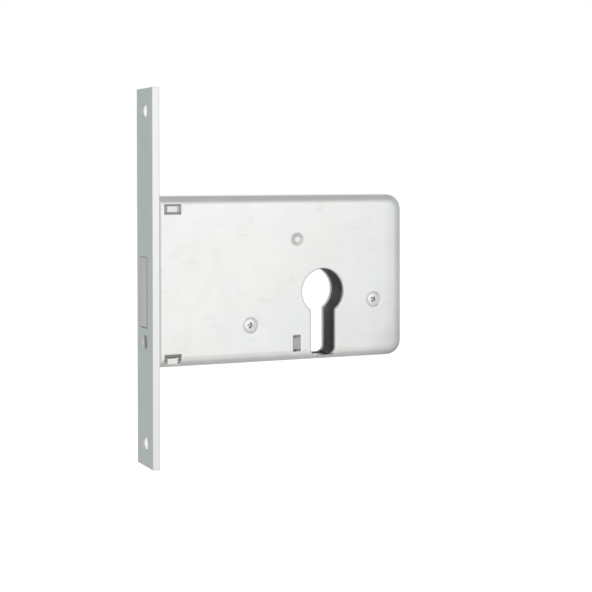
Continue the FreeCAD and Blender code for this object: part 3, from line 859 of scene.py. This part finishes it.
# %% Hang the flags
flag_low, flag_high, low_flag_top = -1.0, 1.0, -0.09
side_flags = {
    "flag_front_left": ([(-0.95, -0.70), (-1.15, -0.20), (-1.15, 0.35)], flag_low, flag_high,
                        (0.49, 0.49, 0.49)),
    "flag_back_left": ([(-1.15, 0.35), (-0.9, 0.9), (0.15, 1.3)], flag_low, flag_high,
                       (0.423, 0.456, 0.464)),
    "flag_right": ([(0.63, -0.97), (1.0, -0.5)], flag_low, flag_high, (0.62, 0.63, 0.63)),
    "flag_back_right": ([(1.0, -0.5), (1.2, 0.4), (0.8, 1.0)], flag_low, flag_high,
                        (0.55, 0.56, 0.56)),
    "flag_low_right": ([(0.48, -0.94), (0.64, -0.93)], flag_low, low_flag_top,
                       (0.58, 0.58, 0.59)),
}
level_flags = {
    "flag_above": (1.0, [(-1.5, 0.95), (-1.1, 0.78), (-0.85, 0.65), (-0.70, 0.50), (-0.6, 0.45),
                         (1.5, 0.45)]),
    "flag_below": (-0.35, [(-2.4, 1.0), (-1.8, 0.93), (-1.4, 0.74), (-0.3, 0.68), (-0.14, 0.50),
                           (0.0, 0.42), (1.4, 0.40)]),
}
for name, values in side_flags.items():
    side_flag(name, *values)
for name, values in level_flags.items():
    level_flag(name, *values)
print("flags:", len(side_flags) + len(level_flags))

# %% [markdown]
# ## Small cards
# Drilled holes and narrow gaps swallow light, so a photographer slides small cards behind them.
# Such a card is made flat, as a disc or a strip in millimetres, and then turned about one axis
# and moved to its place.

# %% Small cards
def small_card(name, shape, centre, axis, turn, tone):
    """Turns a flat shape in millimetres about an axis and puts it at its centre as a card."""
    material, glow = grey_card(name)
    glow.inputs["Color"].default_value = (tone, tone, tone, 1)
    bmesh.ops.rotate(shape, cent=(0, 0, 0), matrix=Matrix.Rotation(math.radians(turn), 3, axis),
                     verts=shape.verts)
    bmesh.ops.translate(shape, vec=centre, verts=shape.verts)
    bmesh.ops.scale(shape, vec=(millimetre,) * 3, verts=shape.verts)
    hide_from_all_but_mirrors(stage_object(name, shape, material))


def disc(radius):
    """A flat round shape."""
    shape = bmesh.new()
    bmesh.ops.create_circle(shape, cap_ends=True, segments=32, radius=radius)
    return shape


def strip(length, width):
    """A flat rectangle, length along X and width along Y."""
    shape = bmesh.new()
    bmesh.ops.create_grid(shape, x_segments=1, y_segments=1, size=0.5)
    bmesh.ops.scale(shape, vec=(length, width, 1), verts=shape.verts)
    return shape


print("card helpers: small_card, disc and strip")

# %% [markdown]
# ## Cards inside the holes
# A white card behind each screw hole of the faceplate paints light into its walls, a dark one in
# the middle hole paints shade there, and grey ones just past the edges of the two windows paint
# light into their gaps. All of them glow and are seen by the metal only.

# %% Cards behind the holes and windows
card_x = -67.26
# The hole cards' tone is painted light, the middle card's tone painted shade, and the window tones
# painted light in the gaps.
hole_card_radius, hole_card_tone = 2.35, 1.0
middle_hole_z, middle_card_radius, middle_card_tone = -16.9, 2.55, 0.24
upper_window_tone, lower_window_tone = 0.7, 0.5
for number, (_, y, z) in enumerate(face_screw_holes):
    small_card("screw_hole_card_%d" % number, disc(hole_card_radius), (card_x, y, z), "Y", 90,
               hole_card_tone)
small_card("cylinder_screw_card", disc(middle_card_radius), (card_x, 0, middle_hole_z), "Y", 90,
           middle_card_tone)
window_cards = {
    "upper_window_top_card": (strip(7.5, 1.5), (-61.1, -3.96, 34.78), "X", 43,
                              upper_window_tone),
    "upper_window_side_card": (strip(1.2, 3.8), (-57.1, -4.85, 32.3), "X", 90,
                               upper_window_tone),
    "lower_window_floor_card": (strip(9.0, 2.4), (-61.1, -2.2, -24.95), "X", 0,
                                lower_window_tone),
    "lower_window_side_card": (strip(1.2, 2.6), (-57.1, -4.85, -22.4), "X", 90,
                               lower_window_tone),
}
for name, values in window_cards.items():
    small_card(name, *values)
print("small cards:", len(face_screw_holes) + 1 + len(window_cards))

# %% [markdown]
# ## The lamp
# One large soft lamp stands in front. It lights the floor and anything matt at a plain level;
# bare metal gets its light from the white room instead, so the lamp has no glint on it.

# %% Lamp
lamp_width, lamp_power = 1.2, 12.0
lamp_place = (0.3, -1.2, 1.3)
lamp_data = bpy.data.lights.new("front_lamp", "AREA")
lamp_data.size = lamp_width
lamp_data.energy = lamp_power
lamp = bpy.data.objects.new("front_lamp", lamp_data)
bpy.context.scene.collection.objects.link(lamp)
lamp.location = lamp_place
lamp.rotation_euler = (-lamp.location).to_track_quat("-Z", "Y").to_euler()
lamp.visible_glossy = False
print("lamp of", lamp_power, "W at", round(lamp.location.length, 2), "m")
